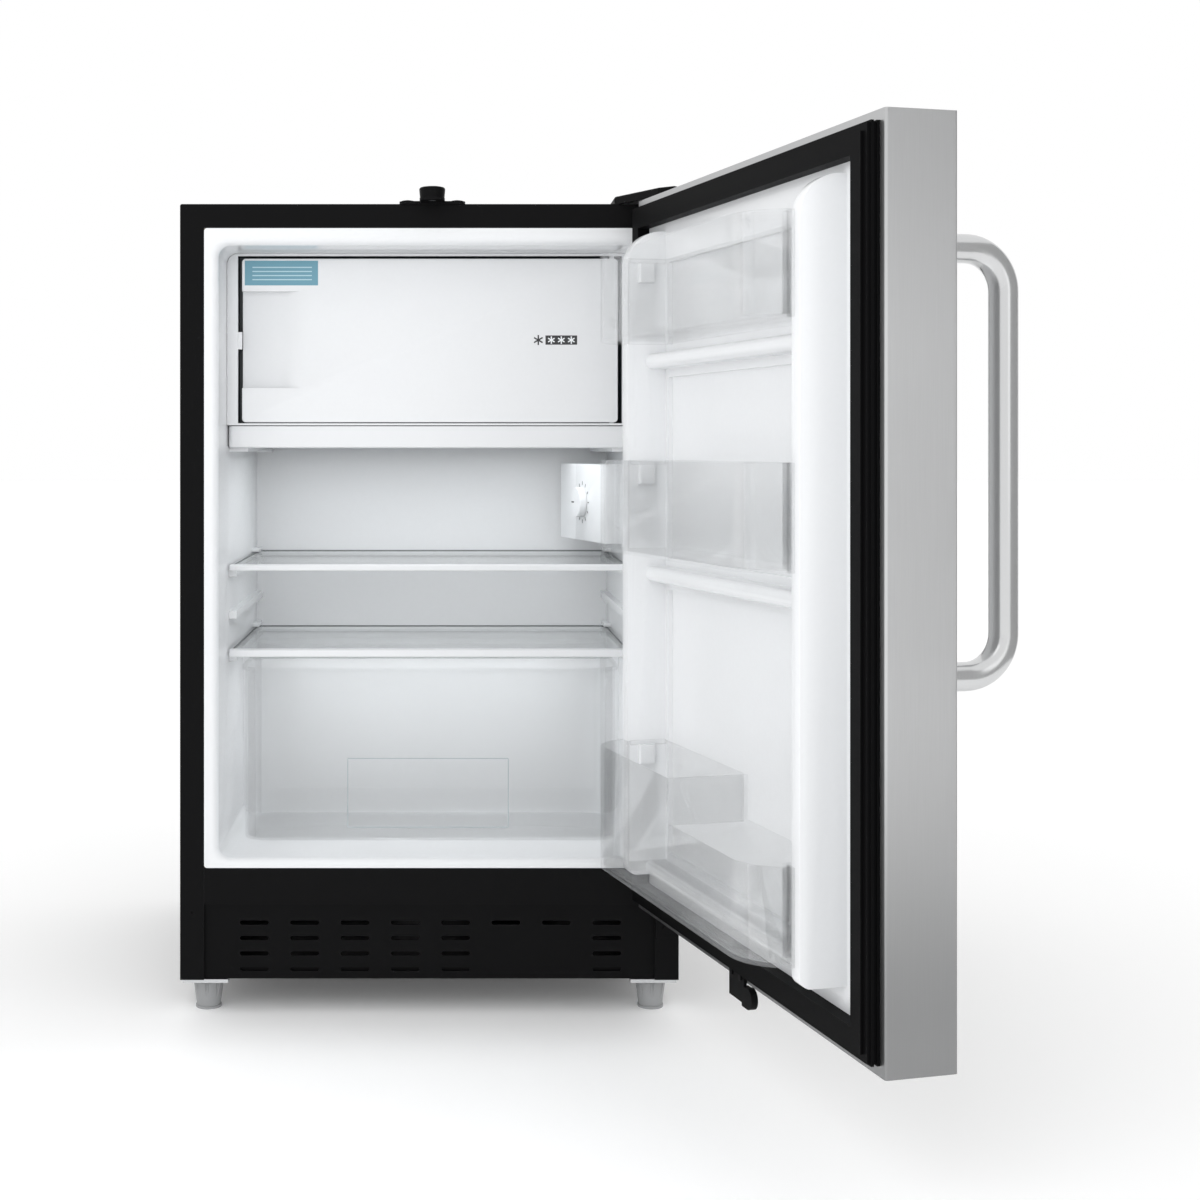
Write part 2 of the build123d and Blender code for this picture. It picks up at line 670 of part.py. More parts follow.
def door_skin():
    """Steel wrap with its folded edge round the inner face."""
    skin = door_plate(0, -DOOR_T, 0)
    skin = fillet(skin.edges().filter_by(Axis.Z), 2)
    skin -= door_plate(SHEET, -DOOR_T + SHEET, -SHEET)
    skin -= door_plate(SEAL_IN, -SHEET - 1, 1)
    skin -= pin_bore(8)
    skin -= block(LOCK_X - 12, LOCK_X + 12, LOCK_Y - CUP, LOCK_Y + CUP, DOOR_Z1 - 20, DOOR_Z1 + 1)
    return skin - door_screws()


def rib(x0, x1, v, z0, z1, r0, r1, inset):
    """Raised rib off the inner face with rounded ends."""
    shape = block(x0 + inset, x1 - inset, DOOR_IN - 3, DOOR_IN + v - inset, z0 + inset, z1 - inset)
    for z, r in ((z0 + inset, r0), (z1 - inset, r1)):
        edge = [
            e
            for e in shape.edges().filter_by(Axis.X)
            if abs(e.center().Z - z) < 0.01 and e.center().Y > DOOR_IN + v - inset - 0.01
        ]
        shape = fillet(edge, max(r - inset, 0.5))
    return shape


def raised(inset):
    """Everything that stands off the door liner: side dykes and the ledges between them."""
    z0, z1 = (zd(t) for t in DYKE_SPAN)
    out = []
    for s in (-1, 1):
        x0, x1 = sorted((s * (DX - DYKE_IN), s * (DX - DYKE_IN - DYKE_W)))
        out.append(rib(x0, x1, DYKE_H, z0, z1, 9, 34, inset))
    inner = DX - DYKE_IN - DYKE_W + (2 if inset else 1)
    for t in LEDGES:
        out.append(rib(-inner, inner, 20, zd(t) - 14, zd(t), 6, 6, inset))
    out.append(rib(-inner, inner, 20, z0, z0 + 13, 6, 6, inset))
    return all_of(out)


def panels():
    """Shallow recesses between the ledges: low and high edges."""
    edges = [zd(DYKE_SPAN[0]) + 13] + [zd(t) for t in LEDGES] + [zd(DYKE_SPAN[1])]
    return [(a + 8, b - (22 if i < 2 else 30)) for i, (a, b) in enumerate(zip(edges, edges[1:]))]


def recess(z0, z1, inset):
    x = DX - DYKE_IN - DYKE_W - 8
    return block(-x - inset, x + inset, DOOR_IN - 4 - inset, DOOR_IN + 1, z0 - inset, z1 + inset)


def door_liner():
    t = LINER_T
    liner = door_plate(SEAL_IN + 0.1, -t, 0) + raised(0)
    liner -= raised(t)
    for z0, z1 in panels():
        liner += recess(z0, z1, t) - block(-DX, DX, DOOR_IN, DOOR_IN + 5, 0, 2000)
        liner -= recess(z0, z1, 0)
    liner -= block(-DX, DX, DOOR_IN - 20, DOOR_IN - 6 - 0.001, 0, 2000)
    return all_of([keep_in(liner)] + lugs())


def keep_in(liner):
    """Trim what the ribs leave behind the liner's back face, outside the recesses."""
    back = door_plate(-1, -30, -LINER_T)
    for z0, z1 in panels():
        back -= recess(z0, z1, LINER_T)
    return liner - back


def foam_fill():
    """What the foam must keep clear of: recesses and inside fittings."""
    return [recess(z0, z1, LINER_T) for z0, z1 in panels()]


def door_foam():
    foam = door_plate(SHEET, -DOOR_T + SHEET, -LINER_T)
    foam -= door_plate(SHEET, -LINER_T, 5)
    filled = raised(LINER_T)
    foam += filled - door_plate(-5, -30, -LINER_T)
    for cut in foam_fill():
        foam -= cut
    foam -= pin_bore(8.0)
    foam += upright(*PIN, DOOR_Z0 + 22, DOOR_Z1 - 22, 8.0)
    foam -= block(LOCK_X - 12, LOCK_X + 12, LOCK_Y - CUP, LOCK_Y + CUP, DOOR_Z1 - 20, DOOR_Z1 + 1)
    return foam - door_screws()


def hinge_bushings():
    low = upright(*PIN, BASE + 2.05, DOOR_Z0, 9) + upright(*PIN, DOOR_Z0, DOOR_Z0 + 22, 8)
    low -= upright(*PIN, BASE, DOOR_Z0 + 18, PIN_R + RUN)
    high = upright(*PIN, DOOR_Z1 - 22, DOOR_Z1, 8)
    high -= upright(*PIN, DOOR_Z1 - 18, DOOR_Z1 + 1, PIN_R + RUN)
    return Compound(children=[low, high])


def lock_strike():
    """Cup in the door's top edge that takes the bolt."""
    cup = block(LOCK_X - 12, LOCK_X + 12, LOCK_Y - CUP, LOCK_Y + CUP, DOOR_Z1 - 20, DOOR_Z1)
    return cup - upright(LOCK_X, LOCK_Y, DOOR_Z1 - 16, DOOR_Z1 + 1, BOLT_R + 0.8)


def gasket_ring(inset, width, v0, v1):
    outer = door_plate(inset, v0, v1)
    return outer - door_plate(inset + width, v0 - 1, v1 + 1)


def door_gasket():
    """Bellows seal: thin steps on its outer side, hollow underneath for the magnet."""
    height = DOOR_GAP - 0.1
    step = height / 5
    layers = []
    for k in range(5):
        inset = SEAL_IN + (7.0 if k == 4 else 1.4 * (k % 2))
        layers.append(gasket_ring(inset, SEAL_IN + SEAL_W - inset, k * step, (k + 1) * step))
    seal = all_of(layers)
    return seal - gasket_ring(SEAL_IN + 9, 11, -1, height - 1.0)


def gasket_magnet():
    top = DOOR_GAP - 0.1 - 1.0
    return gasket_ring(SEAL_IN + 9, 11, top - 3, top)


HANDLE_Z = (zd(0.403), zd(0.865))


def door_handle():
    """Bowed tube handle with solid ends."""
    x, face = -DX + HANDLE_IN, DOOR_OUT
    z0, z1 = HANDLE_Z
    out = face - HANDLE_OUT
    points = [(x, face, z0), (x, out, z0), (x, out, z1), (x, face, z1)]
    bar = tube(points, HANDLE_R, HANDLE_BEND)
    inner = [(x, face - 14, z0), (x, out, z0), (x, out, z1), (x, face - 14, z1)]
    bar -= tube(inner, HANDLE_R - 2, HANDLE_BEND)
    return bar - door_screws()


CATCH_U = (228.0, 258.0, 283.0)


def lower_catch():
    """Black plate hanging under the door's free lower edge, with a rounded lobe."""
    mid = DX
    x_of = [mid - u * DOOR_W / 496.0 for u in CATCH_U]
    y0, y1 = DOOR_IN, DOOR_IN + 3
    plate = block(x_of[1], x_of[0], y0, y1, DOOR_Z0 - 17, DOOR_Z0 + 7)
    cx = x_of[1] - 7
    lobe = rod_y(cx, DOOR_Z0 - 11, y0 - 3, y1, 9)
    lobe += block(cx, x_of[1] + 4, y0 - 3, y1, DOOR_Z0 - 20, DOOR_Z0 - 3)
    return plate + lobe - door_screws()


def door_screws():
    """Handle studs from inside the skin, and the catch's screws."""
    parts = []
    x = -DX + HANDLE_IN
    for z in HANDLE_Z:
        stud = rod_y(x, z, DOOR_OUT - 11, DOOR_OUT + 4, 3) + rod_y(x, z, DOOR_OUT + SHEET, DOOR_OUT + 5, 7)
        parts.append(stud)
    for u in (234.0, 252.0):
        cx = DX - u * DOOR_W / 496.0
        z = DOOR_Z0 + 3.5
        shank = rod_y(cx, z, DOOR_IN - 8, DOOR_IN + 3.5, 1.5)
        parts.append(shank + rod_y(cx, z, DOOR_IN + 3, DOOR_IN + 4.4, 2.8))
    return Compound(children=parts)


# ================================================================ door bins
def bin_span(name):
    low, top, high = (zd(t) for t in BINS[name])
    return low, top, high


def lugs():
    """Pegs on the dykes that carry the bins' rims."""
    out = []
    x = DX - DYKE_IN - DYKE_W
    for name in BINS:
        low, top, high = bin_span(name)
        for s in (-1, 1):
            tall = high if s > 0 else top
            x0, x1 = sorted((s * (x + 1), s * (x - 5.5)))
            out.append(soft_box(x0, x1, DOOR_IN + 12, DOOR_IN + 28, tall - 22, tall - 4.2, 2))
    return out


def bin_shape(x0, x1, z0, z1, inset, left=True, right=True):
    """One bin volume: narrow between the dykes, wide in front of them."""
    back_x = DX - DYKE_IN - DYKE_W - 6.5
    front_x = DX - DYKE_IN - 5
    v0, v1, v2 = 1.0, DYKE_H + 1.0, BIN_DEEP
    i = inset
    b0, b1 = max(x0, -back_x) + i, min(x1, back_x) - i
    f0 = (-front_x if left else x0) + i
    f1 = (front_x if right else x1) - i
    join = DOOR_IN + v1 + i
    shape = block(b0, b1, DOOR_IN + v0 + i, join + 2, z0, z1)
    past = 90.0  # what the cuts below take off again
    f0_cut, f1_cut = f0 - (0 if left else past), f1 + (0 if right else past)
    front = soft_box(f0_cut, f1_cut, join - past, DOOR_IN + v2 - i, z0, z1, BIN_CORNER - i)
    front -= block(-2 * DX, 2 * DX, join - 200, join, z0 - 1, z1 + 1)
    if not left:
        front -= block(f0 - 200, f0, join - 200, join + 200, z0 - 1, z1 + 1)
    return shape + front


def door_bin(name):
    """Clear bin with a rim that hangs on the lugs; the bottom one is taller at the hinge side."""
    z0, top, high = bin_span(name)
    w = BIN_WALL
    body = bin_shape(-DX, DX, z0, top, 0) - bin_shape(-DX, DX, z0 + w, top + 1, w)
    back_x = DX - DYKE_IN - DYKE_W - 6.5
    if high > top + 1:
        split = DX - 0.53 * DOOR_W
        tall = bin_shape(split, DX, top - 2, high, 0, left=False)
        tall -= bin_shape(split, DX, top - 3, high + 1, w, left=False)
        body += tall
        body -= bin_shape(split, DX, z0 + w, top + 2, w, left=False)
    for s in (-1, 1):
        tall = high if s > 0 else top
        x0, x1 = sorted((s * (back_x - w), s * (back_x + 6)))
        body += block(x0, x1, DOOR_IN + 1, DOOR_IN + DYKE_H - 1, tall - 4, tall)
    return body


# ================================================================ export
PARTS = {
    "cabinet_shell": cabinet_shell,
    "back_panel": back_panel,
    "bottom_rail": bottom_rail,
    "foam_bulkhead": foam_bulkhead,
    "cabinet_foam": cabinet_foam,
    "inner_liner": inner_liner,
    "toe_grille": toe_grille,
    "base_pan": base_pan,
    "rear_cover": rear_cover,
    "foot_plates": foot_plates,
    "compressor": compressor,
    "compressor_grommets": compressor_grommets,
    "condenser_coil": condenser_coil,
    "filter_drier": filter_drier,
    "evaporation_pan": evaporation_pan,
    "drain_tube": drain_tube,
    "suction_line": suction_line,
    "power_inlet": power_inlet,
    "top_hinge_bracket": top_hinge_bracket,
    "hinge_cover": hinge_cover,
    "lower_hinge_bracket": lower_hinge_bracket,
    "cabinet_screws": cabinet_screws,
    "lock_plate": lock_plate,
    "lock_barrel": lock_barrel,
    "lock_core": lock_core,
    "lock_bolt": lock_bolt,
    "freezer_frame": freezer_frame,
    "freezer_hinge_pins": freezer_hinge_pins,
    "evaporator": evaporator,
    "freezer_door_panel": freezer_door_panel,
    "freezer_door_back": freezer_door_back,
    "freezer_door_gasket": freezer_door_gasket,
    "freezer_label": freezer_label,
    "drip_tray": drip_tray,
    "upper_shelf_glass": lambda: shelf_glass("up"),
    "upper_shelf_trim": lambda: shelf_trim("up"),
    "lower_shelf_glass": lambda: shelf_glass("low"),
    "lower_shelf_trim": lambda: shelf_trim("low"),
    "crisper_drawer": crisper_drawer,
    "thermostat_housing": thermostat_housing,
    "thermostat_dial": thermostat_dial,
    "lamp_lens": lamp_lens,
    "lamp": lamp,
}
DOOR_PARTS = {
    "door_skin": door_skin,
    "door_foam": door_foam,
    "door_liner": door_liner,
    "door_gasket": door_gasket,
    "gasket_magnet": gasket_magnet,
    "hinge_bushings": hinge_bushings,
    "lock_strike": lock_strike,
    "door_handle": door_handle,
    "door_screws": door_screws,
    "lower_catch": lower_catch,
    "top_bin": lambda: door_bin("top_bin"),
    "middle_bin": lambda: door_bin("middle_bin"),
    "bottom_bin": lambda: door_bin("bottom_bin"),
}
FEET = ("foot_front_left", "foot_front_right", "foot_back_left", "foot_back_right")


def save(name, shape):
    export_step(shape, os.path.join("parts", name + ".step"))


os.makedirs("parts", exist_ok=True)
for part_name, make in PARTS.items():
    save(part_name, make())
for part_name, make in DOOR_PARTS.items():
    save(part_name, swing(make()))
for index, part_name in enumerate(FEET):
    save(part_name, foot(index))
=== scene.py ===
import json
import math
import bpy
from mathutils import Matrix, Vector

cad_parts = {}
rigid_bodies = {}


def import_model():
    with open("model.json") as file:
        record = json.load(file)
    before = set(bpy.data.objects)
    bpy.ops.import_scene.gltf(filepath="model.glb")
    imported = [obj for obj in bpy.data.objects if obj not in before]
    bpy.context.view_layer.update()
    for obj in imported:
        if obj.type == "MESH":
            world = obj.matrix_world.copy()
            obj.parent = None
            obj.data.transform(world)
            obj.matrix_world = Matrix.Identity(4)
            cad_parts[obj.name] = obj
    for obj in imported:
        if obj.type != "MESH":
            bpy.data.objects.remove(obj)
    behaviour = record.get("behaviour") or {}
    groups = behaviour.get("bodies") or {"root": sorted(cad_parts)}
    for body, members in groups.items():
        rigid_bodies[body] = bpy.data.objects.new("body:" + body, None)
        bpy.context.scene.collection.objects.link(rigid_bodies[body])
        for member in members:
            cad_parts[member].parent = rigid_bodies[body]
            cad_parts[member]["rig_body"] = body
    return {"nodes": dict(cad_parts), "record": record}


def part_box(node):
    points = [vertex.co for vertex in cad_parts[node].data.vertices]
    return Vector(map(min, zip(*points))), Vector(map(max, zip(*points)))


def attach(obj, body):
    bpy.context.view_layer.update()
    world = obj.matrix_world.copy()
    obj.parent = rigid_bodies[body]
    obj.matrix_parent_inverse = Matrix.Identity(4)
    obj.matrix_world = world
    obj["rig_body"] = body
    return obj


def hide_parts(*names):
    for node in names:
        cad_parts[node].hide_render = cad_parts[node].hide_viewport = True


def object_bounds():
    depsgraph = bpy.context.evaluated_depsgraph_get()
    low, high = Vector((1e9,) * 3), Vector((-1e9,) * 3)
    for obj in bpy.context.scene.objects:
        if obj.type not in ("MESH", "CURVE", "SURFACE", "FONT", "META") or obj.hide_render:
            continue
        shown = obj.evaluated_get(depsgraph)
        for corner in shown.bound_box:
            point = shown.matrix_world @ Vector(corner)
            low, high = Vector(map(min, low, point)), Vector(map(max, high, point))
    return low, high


bl_info = {
    "name": "Mini fridge looks",
    "version": (1, 0, 0),
    "blender": (4, 5, 0),
    "location": "View3D > Sidebar > Fridge",
    "description": "Finishes and small pieces for a compact built-in refrigerator on its packed frame",
    "category": "Object",
}

import bmesh
import bpy
from bpy.props import FloatProperty, FloatVectorProperty, IntProperty, PointerProperty
from mathutils import Matrix, Vector

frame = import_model()
NODES = frame["nodes"]
CAD_BOX = [list(c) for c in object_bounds()]
MM = 0.001


# ------------------------------------------------------------------ settings
class FridgeFinishSettings(bpy.types.PropertyGroup):
    cabinet_black: FloatVectorProperty(
        name="Cabinet black", description="Paint of the cabinet and its front flange", subtype="COLOR",
        size=3, default=(0.0046, 0.0046, 0.0049), min=0, max=1,
    )
    liner_white: FloatVectorProperty(
        name="Liner white", description="Moulded inner liner and door liner", subtype="COLOR", size=3,
        default=(0.785, 0.795, 0.808), min=0, max=1,
    )
    steel_tint: FloatVectorProperty(
        name="Stainless tint", description="Brushed door wrap and handle", subtype="COLOR", size=3,
        default=(0.66, 0.665, 0.67), min=0, max=1,
    )
    label_blue: FloatVectorProperty(
        name="Label blue", description="Instruction label on the freezer door", subtype="COLOR", size=3,
        default=(0.15, 0.34, 0.43), min=0, max=1,
    )
    clear_tint: FloatVectorProperty(
        name="Clear plastic tint", description="Door bins and crisper drawer", subtype="COLOR", size=3,
        default=(0.955, 0.975, 0.98), min=0, max=1,
    )
    paint_grain: FloatProperty(
        name="Paint grain", description="Size of the paint's fine texture", subtype="DISTANCE",
        default=0.0009, min=0.0001, max=0.01,
    )
    brush_pitch: FloatProperty(
        name="Brush pitch", description="Spacing of the brushed lines", subtype="DISTANCE", default=0.0006,
        min=0.0001, max=0.01,
    )


class FridgeShapeSettings(bpy.types.PropertyGroup):
    liner_round: FloatProperty(
        name="Liner rounding", description="Radius of the liner's moulded edges", subtype="DISTANCE",
        default=0.003, min=0.0002, max=0.02,
    )
    bin_round: FloatProperty(
        name="Bin rounding", description="Radius of the clear bins' edges", subtype="DISTANCE",
        default=0.0009, min=0.0001, max=0.005,
    )
    edge_round: FloatProperty(
        name="Edge rounding", description="Radius of small moulded edges", subtype="DISTANCE",
        default=0.0008, min=0.0001, max=0.005,
    )
    label_lines: IntProperty(
        name="Label lines", description="White lines printed on the label", default=4, min=1, max=12,
    )
    dial_marks: IntProperty(
        name="Dial marks", description="Marks round the thermostat dial", default=12, min=2, max=24,
    )
    cover_screws: IntProperty(
        name="Cover screws", description="Screws along each edge of the rear cover", default=4, min=2,
        max=9,
    )


# ------------------------------------------------------------------ node helpers
def new_material(name):
    mat = bpy.data.materials.new(name)
    mat.use_nodes = True
    tree = mat.node_tree
    return mat, tree, tree.nodes["Principled BSDF"]


def add(tree, kind, **values):
    node = tree.nodes.new(kind)
    for key, value in values.items():
        if key in node.inputs:
            node.inputs[key].default_value = value
        else:
            setattr(node, key, value)
    return node


def group_tree(name, inputs, outputs):
    """Shader group with named sockets: (name, kind, default) in, (name, kind) out."""
    tree = bpy.data.node_groups.new(name, "ShaderNodeTree")
    for label, kind, default in inputs:
        socket = tree.interface.new_socket(label, in_out="INPUT", socket_type=kind)
        socket.default_value = default
    for label, kind in outputs:
        tree.interface.new_socket(label, in_out="OUTPUT", socket_type=kind)
    return tree, tree.nodes.new("NodeGroupInput"), tree.nodes.new("NodeGroupOutput")


def grain_group():
    """Fine noise in the piece's own metres: a 0 to 1 mask and a bump height."""
    tree, gin, gout = group_tree(
        "Fine grain",
        [
            ("Scale", "NodeSocketFloat", 900.0), ("Stretch", "NodeSocketVector", (1.0, 1.0, 1.0)),
            ("Detail", "NodeSocketFloat", 3.0),
        ],
        [("Mask", "NodeSocketFloat"), ("Broad", "NodeSocketFloat")],
    )
    coord = tree.nodes.new("ShaderNodeTexCoord")
    spread = add(tree, "ShaderNodeVectorMath", operation="MULTIPLY")
    fine = tree.nodes.new("ShaderNodeTexNoise")
    broad = tree.nodes.new("ShaderNodeTexNoise")
    broad.inputs["Scale"].default_value = 6.0
    broad.inputs["Detail"].default_value = 4.0
    link = tree.links.new
    link(coord.outputs["Object"], spread.inputs[0])
    link(gin.outputs["Stretch"], spread.inputs[1])
    link(spread.outputs[0], fine.inputs["Vector"])
    link(gin.outputs["Scale"], fine.inputs["Scale"])
    link(gin.outputs["Detail"], fine.inputs["Detail"])
    link(coord.outputs["Object"], broad.inputs["Vector"])
    link(fine.outputs["Fac"], gout.inputs["Mask"])
    link(broad.outputs["Fac"], gout.inputs["Broad"])
    return tree


def edge_group():
    """Worn or caught-light edges: a 0 to 1 mask from the surface's own bevelled normal."""
    tree, gin, gout = group_tree(
        "Edge catch",
        [("Radius", "NodeSocketFloat", 0.0012), ("Gain", "NodeSocketFloat", 4.0)],
        [("Mask", "NodeSocketFloat")],
    )
    bevel = tree.nodes.new("ShaderNodeBevel")
    bevel.samples = 4
    geo = tree.nodes.new("ShaderNodeNewGeometry")
    dot = add(tree, "ShaderNodeVectorMath", operation="DOT_PRODUCT")
    flip = add(tree, "ShaderNodeMath", operation="SUBTRACT")
    flip.inputs[0].default_value = 1.0
    gain = add(tree, "ShaderNodeMath", operation="MULTIPLY", use_clamp=True)
    link = tree.links.new
    link(gin.outputs["Radius"], bevel.inputs["Radius"])
    link(bevel.outputs[0], dot.inputs[0])
    link(geo.outputs["Normal"], dot.inputs[1])
    link(dot.outputs["Value"], flip.inputs[1])
    link(flip.outputs[0], gain.inputs[0])
    link(gin.outputs["Gain"], gain.inputs[1])
    link(gain.outputs[0], gout.inputs["Mask"])
    return tree


def use_group(tree, group, **values):
    node = tree.nodes.new("ShaderNodeGroup")
    node.node_tree = group
    for key, value in values.items():
        node.inputs[key].default_value = value
    return node


def tinted(tree, mask, low, high):
    """Colour that goes from low to high with a mask."""
    mix = tree.nodes.new("ShaderNodeMix")
    mix.data_type = "RGBA"
    mix.inputs[6].default_value = (*low, 1)
    mix.inputs[7].default_value = (*high, 1)
    tree.links.new(mask, mix.inputs[0])
    return mix.outputs[2]


def spread_value(tree, mask, low, high):
    """Number that goes from low to high with a mask."""
    node = tree.nodes.new("ShaderNodeMapRange")
    node.inputs["To Min"].default_value = low
    node.inputs["To Max"].default_value = high
    tree.links.new(mask, node.inputs["Value"])
    return node.outputs["Result"]


def bump(tree, height, distance, strength=1.0):
    node = tree.nodes.new("ShaderNodeBump")
    node.inputs["Distance"].default_value = distance
    node.inputs["Strength"].default_value = strength
    tree.links.new(height, node.inputs["Height"])
    return node.outputs["Normal"]


def shade(c, k):
    return tuple(min(1.0, v * k) for v in c)


# ------------------------------------------------------------------ finishes
def surface(
    name, colour, rough, grain=900.0, stretch=(1, 1, 1), lift=0.08, bump_height=0.00004, broad=0.04,
    edge=None, metallic=0.0, coat=0.0, ior=1.5, anisotropy=0.0, spec=0.5, painted_reflection_tones=None,
    painted_shade_depth=None,
):
    """Opaque finish with fine grain in colour, roughness and bump, an optional edge tone, and optional
    painted reflection by height and painted shade beyond a depth.
    """
    mat, tree, bsdf = new_material(name)
    link = tree.links.new
    grain_node = use_group(tree, GROUPS["grain"], Scale=grain, Stretch=stretch)
    base = tinted(tree, grain_node.outputs["Mask"], shade(colour, 1 - lift), shade(colour, 1 + lift))
    wide = tinted(tree, grain_node.outputs["Broad"], (1 - broad,) * 3, (1 + broad * 0.2,) * 3)
    both = tree.nodes.new("ShaderNodeMix")
    both.data_type = "RGBA"
    both.blend_type = "MULTIPLY"
    both.inputs[0].default_value = 1.0
    link(base, both.inputs[6])
    link(wide, both.inputs[7])
    out = both.outputs[2]
    # painted reflection and shade: colour darkened by height
    if painted_reflection_tones:
        out = painted_reflection_by_height(tree, out, painted_reflection_tones)
    # painted shade on what lies beyond a depth
    if painted_shade_depth is not None:
        out = painted_shade_beyond(tree, out, painted_shade_depth)
    if edge:
        catch = use_group(tree, GROUPS["edge"], Radius=0.0012, Gain=edge[1])
        tone = tree.nodes.new("ShaderNodeMix")
        tone.data_type = "RGBA"
        tone.inputs[7].default_value = (*edge[0], 1)
        link(catch.outputs["Mask"], tone.inputs[0])
        link(out, tone.inputs[6])
        out = tone.outputs[2]
    link(out, bsdf.inputs["Base Color"])
    link(
        spread_value(tree, grain_node.outputs["Mask"], rough * 0.85, min(1.0, rough * 1.18)),
        bsdf.inputs["Roughness"],
    )
    link(bump(tree, grain_node.outputs["Mask"], bump_height), bsdf.inputs["Normal"])
    bsdf.inputs["Metallic"].default_value = metallic
    bsdf.inputs["Coat Weight"].default_value = coat
    bsdf.inputs["IOR"].default_value = ior
    bsdf.inputs["Anisotropic"].default_value = anisotropy
    bsdf.inputs["Specular IOR Level"].default_value = spec
    return mat


def clear(name, tint, rough, ior, grain=70.0, wave=0.0004, body=0.45):
    """Clear moulded plastic or glass: a faint flow in its roughness and surface."""
    mat, tree, bsdf = new_material(name)
    link = tree.links.new
    grain_node = use_group(tree, GROUPS["grain"], Scale=grain, Detail=1.5)
    link(tinted(tree, grain_node.outputs["Broad"], shade(tint, 0.99), tint), bsdf.inputs["Base Color"])
    link(spread_value(tree, grain_node.outputs["Mask"], rough * 0.6, rough * 1.5), bsdf.inputs["Roughness"])
    link(bump(tree, grain_node.outputs["Mask"], wave, 0.25), bsdf.inputs["Normal"])
    bsdf.inputs["Metallic"].default_value = 0.0
    bsdf.inputs["Transmission Weight"].default_value = 1.0
    bsdf.inputs["IOR"].default_value = ior
    bsdf.inputs["Alpha"].default_value = body
    return mat


def painted_reflection_by_height(tree, colour, reflection_levels):
    """Painted reflection and shade: the colour of a tall brushed panel is made darker towards the bottom and
    a little darker at the top, standing in for what the steel reflects, not a tone of the sheet itself.
    """
    coord = tree.nodes.new("ShaderNodeTexCoord")
    apart = tree.nodes.new("ShaderNodeSeparateXYZ")
    level = tree.nodes.new("ShaderNodeMapRange")
    level.inputs["From Min"].default_value = CAD_BOX[0][2]
    level.inputs["From Max"].default_value = CAD_BOX[1][2]
    ramp = tree.nodes.new("ShaderNodeValToRGB")
    ramp.color_ramp.interpolation = "EASE"
    marks = ramp.color_ramp.elements
    for k, (at, value) in enumerate(reflection_levels):
        mark = marks[k] if k < 2 else marks.new(at)
        mark.position = at
        mark.color = (value, value, value, 1)
    times = tree.nodes.new("ShaderNodeMix")
    times.data_type = "RGBA"
    times.blend_type = "MULTIPLY"
    times.inputs[0].default_value = 1.0
    link = tree.links.new
    link(coord.outputs["Object"], apart.inputs[0])
    link(apart.outputs["Z"], level.inputs["Value"])
    link(level.outputs["Result"], ramp.inputs["Fac"])
    link(colour, times.inputs[6])
    link(ramp.outputs["Color"], times.inputs[7])
    return times.outputs[2]


def painted_shade_beyond(tree, colour, depth):
    """Painted shade: dark colour on what lies further back than a depth, standing in for the shade deep in
    the groove behind the freezer door's stop.
    """
    coord = tree.nodes.new("ShaderNodeTexCoord")
    apart = tree.nodes.new("ShaderNodeSeparateXYZ")
    step = tree.nodes.new("ShaderNodeMapRange")
    step.inputs["From Min"].default_value = depth
    step.inputs["From Max"].default_value = depth + 0.0015
    mix = tree.nodes.new("ShaderNodeMix")
    mix.data_type = "RGBA"
    # painted shade colour of the deep groove
    mix.inputs[7].default_value = (0.030, 0.036, 0.042, 1)
    link = tree.links.new
    link(coord.outputs["Object"], apart.inputs[0])
    link(apart.outputs["Y"], step.inputs["Value"])
    link(step.outputs["Result"], mix.inputs[0])
    link(colour, mix.inputs[6])
    return mix.outputs[2]


GROUPS = {}
FINISH = {}


